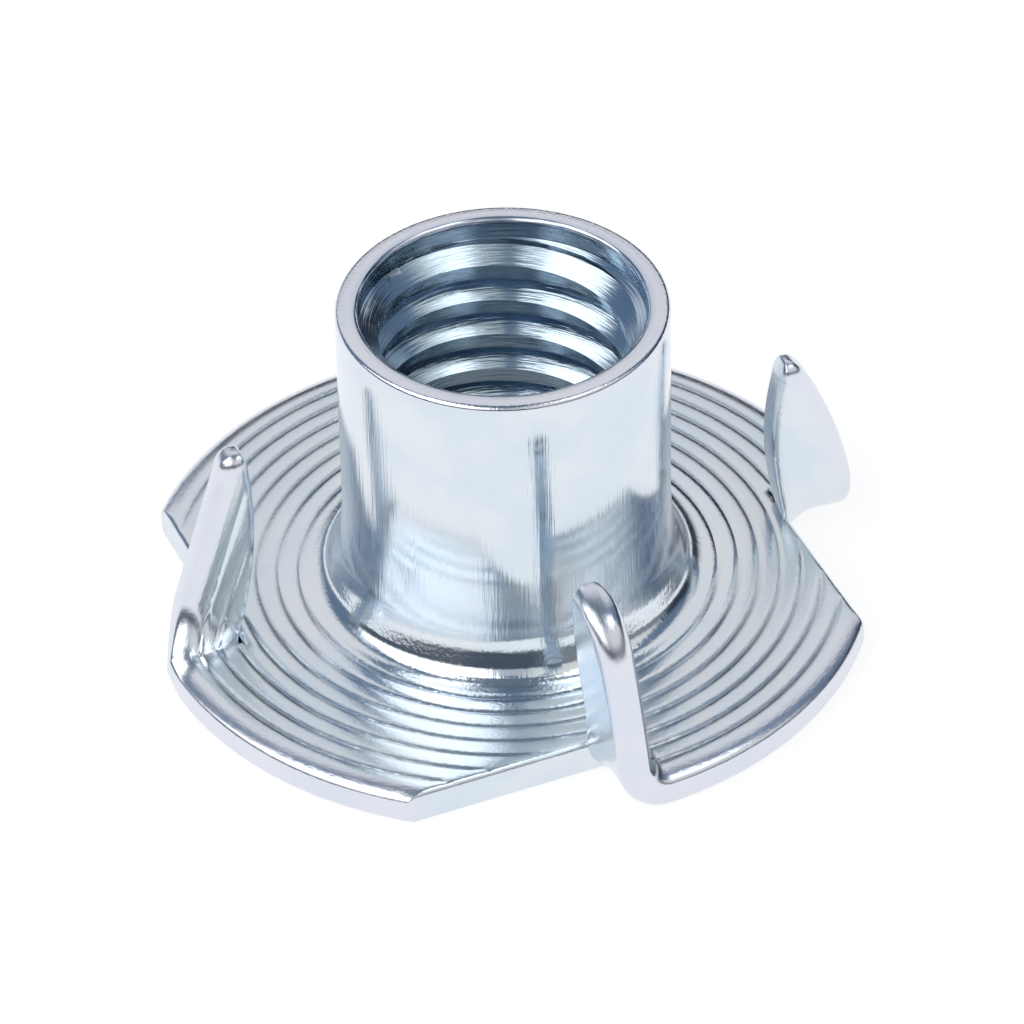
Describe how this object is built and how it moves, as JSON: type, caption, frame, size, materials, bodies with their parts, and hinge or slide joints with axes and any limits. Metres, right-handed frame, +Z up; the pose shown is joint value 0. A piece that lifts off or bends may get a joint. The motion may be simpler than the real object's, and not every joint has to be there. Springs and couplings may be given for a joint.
{
  "type": "tee nut",
  "caption": "Stamped steel tee nut with a threaded barrel on a round ringed flange and upright prongs folded from its rim.",
  "frame": {"origin": "centre of the flange's underside, on the thread's axis", "axes": "+Z up the barrel towards its mouth; the prongs' fold lines lie on the X and Y axes"},
  "size_m": [0.0254, 0.0254, 0.0125],
  "materials": {
    "zinc": "bright blue-white zinc plating over stamped and drawn steel"
  },
  "bodies": {
    "root": {"tee_nut": "zinc"}
  },
  "joints": []
}
